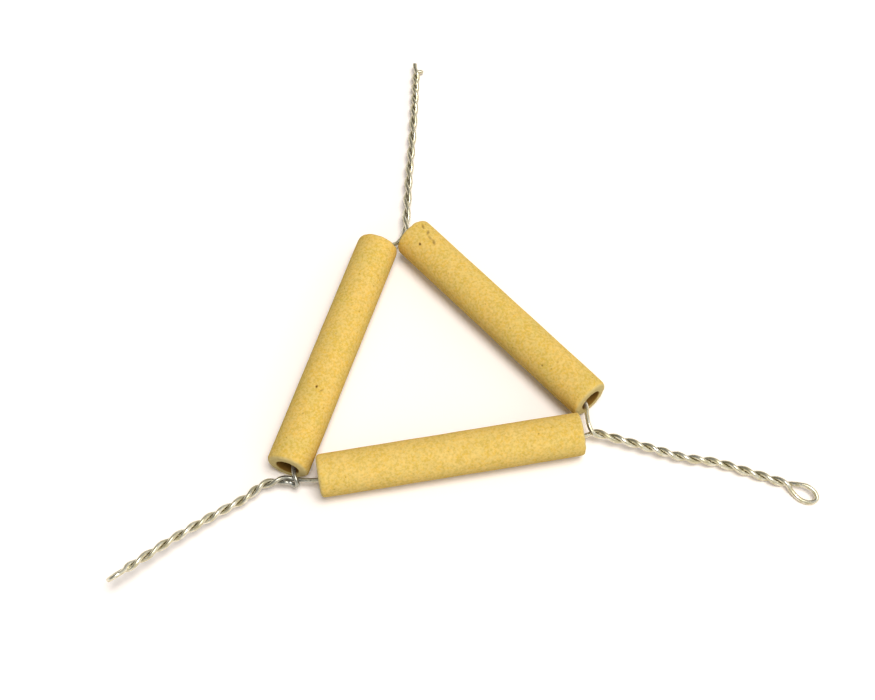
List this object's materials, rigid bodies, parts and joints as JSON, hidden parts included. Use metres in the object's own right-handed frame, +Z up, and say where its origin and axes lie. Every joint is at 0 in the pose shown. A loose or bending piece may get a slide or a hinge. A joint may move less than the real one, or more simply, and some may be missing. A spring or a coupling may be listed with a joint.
{
  "type": "pipe clay triangle",
  "caption": "Clay tubes threaded on one twisted wire into an open triangle that holds a crucible over a burner, with stems that rest on a tripod ring.",
  "frame": {"origin": "centre of the crucible seat, where the circle that touches all three tubes' inner sides has its centre, on the plane that the part lies on", "axes": "+X runs along the front tube toward the stem with the wide loop, +Y points from the front tube toward the corner with the cut wire ends, and +Z is up, out of the face that the crucible goes into"},
  "size_m": [0.154, 0.1333, 0.0097],
  "materials": {
    "clay": "matt fired buff clay, unglazed, fine gritty grain with small pits",
    "wire": "bright galvanised soft iron wire"
  },
  "bodies": {
    "wire_frame": {"wire": "wire"},
    "left_tube": {"left_tube": "clay"},
    "front_tube": {"front_tube": "clay"},
    "right_tube": {"right_tube": "clay"}
  },
  "joints": [
    {"name": "left_tube_turn", "type": "hinge", "parent": "wire_frame", "child": "left_tube", "pos_m": [-0.01991, 0.00834, 0.00485], "axis": [0.466, 0.8848, 0], "continuous": true},
    {"name": "front_tube_turn", "type": "hinge", "parent": "wire_frame", "child": "front_tube", "pos_m": [0.0019, -0.02151, 0.00485], "axis": [1, 0, 0], "continuous": true},
    {"name": "right_tube_turn", "type": "hinge", "parent": "wire_frame", "child": "right_tube", "pos_m": [0.01846, 0.01106, 0.00485], "axis": [-0.5474, 0.8369, 0], "continuous": true}
  ]
}
